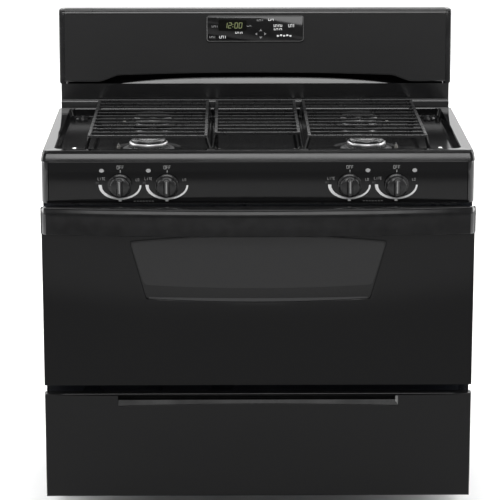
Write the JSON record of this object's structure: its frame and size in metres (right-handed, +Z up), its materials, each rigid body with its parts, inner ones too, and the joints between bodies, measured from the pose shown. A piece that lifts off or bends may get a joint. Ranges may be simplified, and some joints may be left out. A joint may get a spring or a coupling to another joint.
{
  "type": "freestanding gas range",
  "caption": "Freestanding black gas range: grated cooktop with sealed burners, turn knobs, drop-down oven door with arched window, storage drawer and backguard with a clock control.",
  "frame": {"origin": "on the floor, under the middle of the range's bounding box", "axes": "+X to the viewer's right, +Y from the front to the back, +Z up"},
  "size_m": [1.016, 0.74, 1.166],
  "materials": {
    "gloss_enamel": "gloss porcelain enamel on steel",
    "satin_enamel": "satin enamel on steel",
    "oven_enamel": "speckled porcelain enamel on steel",
    "grate_enamel": "satin porcelain enamel",
    "black_plastic": "gloss black heat-resistant plastic",
    "black_glass": "polished black printed panel",
    "window_glass": "dark tempered glass",
    "aluminium": "bead-blasted casting",
    "zinc_steel": "zinc-plated steel",
    "chrome_wire": "bright plated wire",
    "brass": "machined",
    "circuit_board": "solder-masked board in a plastic carrier"
  },
  "bodies": {
    "cabinet": {"side_panel_left": "gloss_enamel", "side_panel_right": "gloss_enamel", "cooktop": "gloss_enamel", "control_panel": "gloss_enamel", "backguard_front": "gloss_enamel", "vent_trim": "gloss_enamel", "backguard_shell": "satin_enamel", "oven_liner": "oven_enamel", "oven_bottom_panel": "oven_enamel", "burner_cap_front_left": "grate_enamel", "burner_cap_front_right": "grate_enamel", "burner_cap_rear_left": "grate_enamel", "burner_cap_rear_right": "grate_enamel", "panel_end_cap_left": "black_plastic", "panel_end_cap_right": "black_plastic", "backguard_end_left": "black_plastic", "backguard_end_right": "black_plastic", "control_fascia": "black_glass", "display_lens": "black_glass", "pressure_regulator": "aluminium", "burner_base_front_left": "aluminium", "burner_base_front_right": "aluminium", "burner_base_rear_left": "aluminium", "burner_base_rear_right": "aluminium", "rear_cover": "zinc_steel", "base_frame": "zinc_steel", "oven_burner": "zinc_steel", "flue_duct": "zinc_steel", "gas_manifold": "zinc_steel", "drawer_rail_left": "zinc_steel", "drawer_rail_right": "zinc_steel", "hinge_receiver_left": "zinc_steel", "hinge_receiver_right": "zinc_steel", "leveling_leg_front_left": "zinc_steel", "leveling_leg_front_right": "zinc_steel", "leveling_leg_rear_left": "zinc_steel", "leveling_leg_rear_right": "zinc_steel", "oven_rack_lower": "chrome_wire", "oven_rack_upper": "chrome_wire", "control_board": "circuit_board"},
    "oven_door": {"door_outer_panel": "gloss_enamel", "door_window": "window_glass", "door_liner": "oven_enamel", "door_handle": "black_plastic", "hinge_arm_left": "zinc_steel", "hinge_arm_right": "zinc_steel"},
    "drawer": {"drawer_front": "gloss_enamel", "drawer_pull": "black_plastic", "drawer_box": "zinc_steel"},
    "left_grate": {"grate_left": "grate_enamel"},
    "centre_grate": {"grate_centre": "grate_enamel"},
    "right_grate": {"grate_right": "grate_enamel"},
    "valve_stem_1": {"valve_collar_1": "brass"},
    "knob_body_1": {"knob_1": "black_plastic"},
    "valve_stem_2": {"valve_collar_2": "brass"},
    "knob_body_2": {"knob_2": "black_plastic"},
    "valve_stem_3": {"valve_collar_3": "brass"},
    "knob_body_3": {"knob_3": "black_plastic"},
    "valve_stem_4": {"valve_collar_4": "brass"},
    "knob_body_4": {"knob_4": "black_plastic"}
  },
  "joints": [
    {"name": "oven_door_hinge", "type": "hinge", "parent": "cabinet", "child": "oven_door", "pos_m": [0, -0.29, 0.376], "axis": [1, 0, 0], "range_deg": [0, 90], "stiffness_Nm_per_rad": 22, "springref_deg": -14.32},
    {"name": "drawer_slide", "type": "slide", "parent": "cabinet", "child": "drawer", "axis": [0, -1, 0], "range_m": [0, 0.3]},
    {"name": "grate_left_lift", "type": "slide", "parent": "cabinet", "child": "left_grate", "axis": [0, 0, 1], "range_m": [0, 0.08]},
    {"name": "grate_centre_lift", "type": "slide", "parent": "cabinet", "child": "centre_grate", "axis": [0, 0, 1], "range_m": [0, 0.08]},
    {"name": "grate_right_lift", "type": "slide", "parent": "cabinet", "child": "right_grate", "axis": [0, 0, 1], "range_m": [0, 0.08]},
    {"name": "knob_1_push", "type": "slide", "parent": "cabinet", "child": "valve_stem_1", "axis": [0, 1, 0], "range_m": [0, 0.003], "stiffness_N_per_m": 900, "springref_m": -0.003},
    {"name": "knob_1_turn", "type": "hinge", "parent": "valve_stem_1", "child": "knob_body_1", "pos_m": [-0.323, -0.266, 0.834], "axis": [0, -1, 0], "range_deg": [0, 270]},
    {"name": "knob_2_push", "type": "slide", "parent": "cabinet", "child": "valve_stem_2", "axis": [0, 1, 0], "range_m": [0, 0.003], "stiffness_N_per_m": 900, "springref_m": -0.003},
    {"name": "knob_2_turn", "type": "hinge", "parent": "valve_stem_2", "child": "knob_body_2", "pos_m": [-0.2135, -0.266, 0.834], "axis": [0, -1, 0], "range_deg": [0, 270]},
    {"name": "knob_3_push", "type": "slide", "parent": "cabinet", "child": "valve_stem_3", "axis": [0, 1, 0], "range_m": [0, 0.003], "stiffness_N_per_m": 900, "springref_m": -0.003},
    {"name": "knob_3_turn", "type": "hinge", "parent": "valve_stem_3", "child": "knob_body_3", "pos_m": [0.2135, -0.266, 0.834], "axis": [0, -1, 0], "range_deg": [0, 270]},
    {"name": "knob_4_push", "type": "slide", "parent": "cabinet", "child": "valve_stem_4", "axis": [0, 1, 0], "range_m": [0, 0.003], "stiffness_N_per_m": 900, "springref_m": -0.003},
    {"name": "knob_4_turn", "type": "hinge", "parent": "valve_stem_4", "child": "knob_body_4", "pos_m": [0.323, -0.266, 0.834], "axis": [0, -1, 0], "range_deg": [0, 270]}
  ]
}
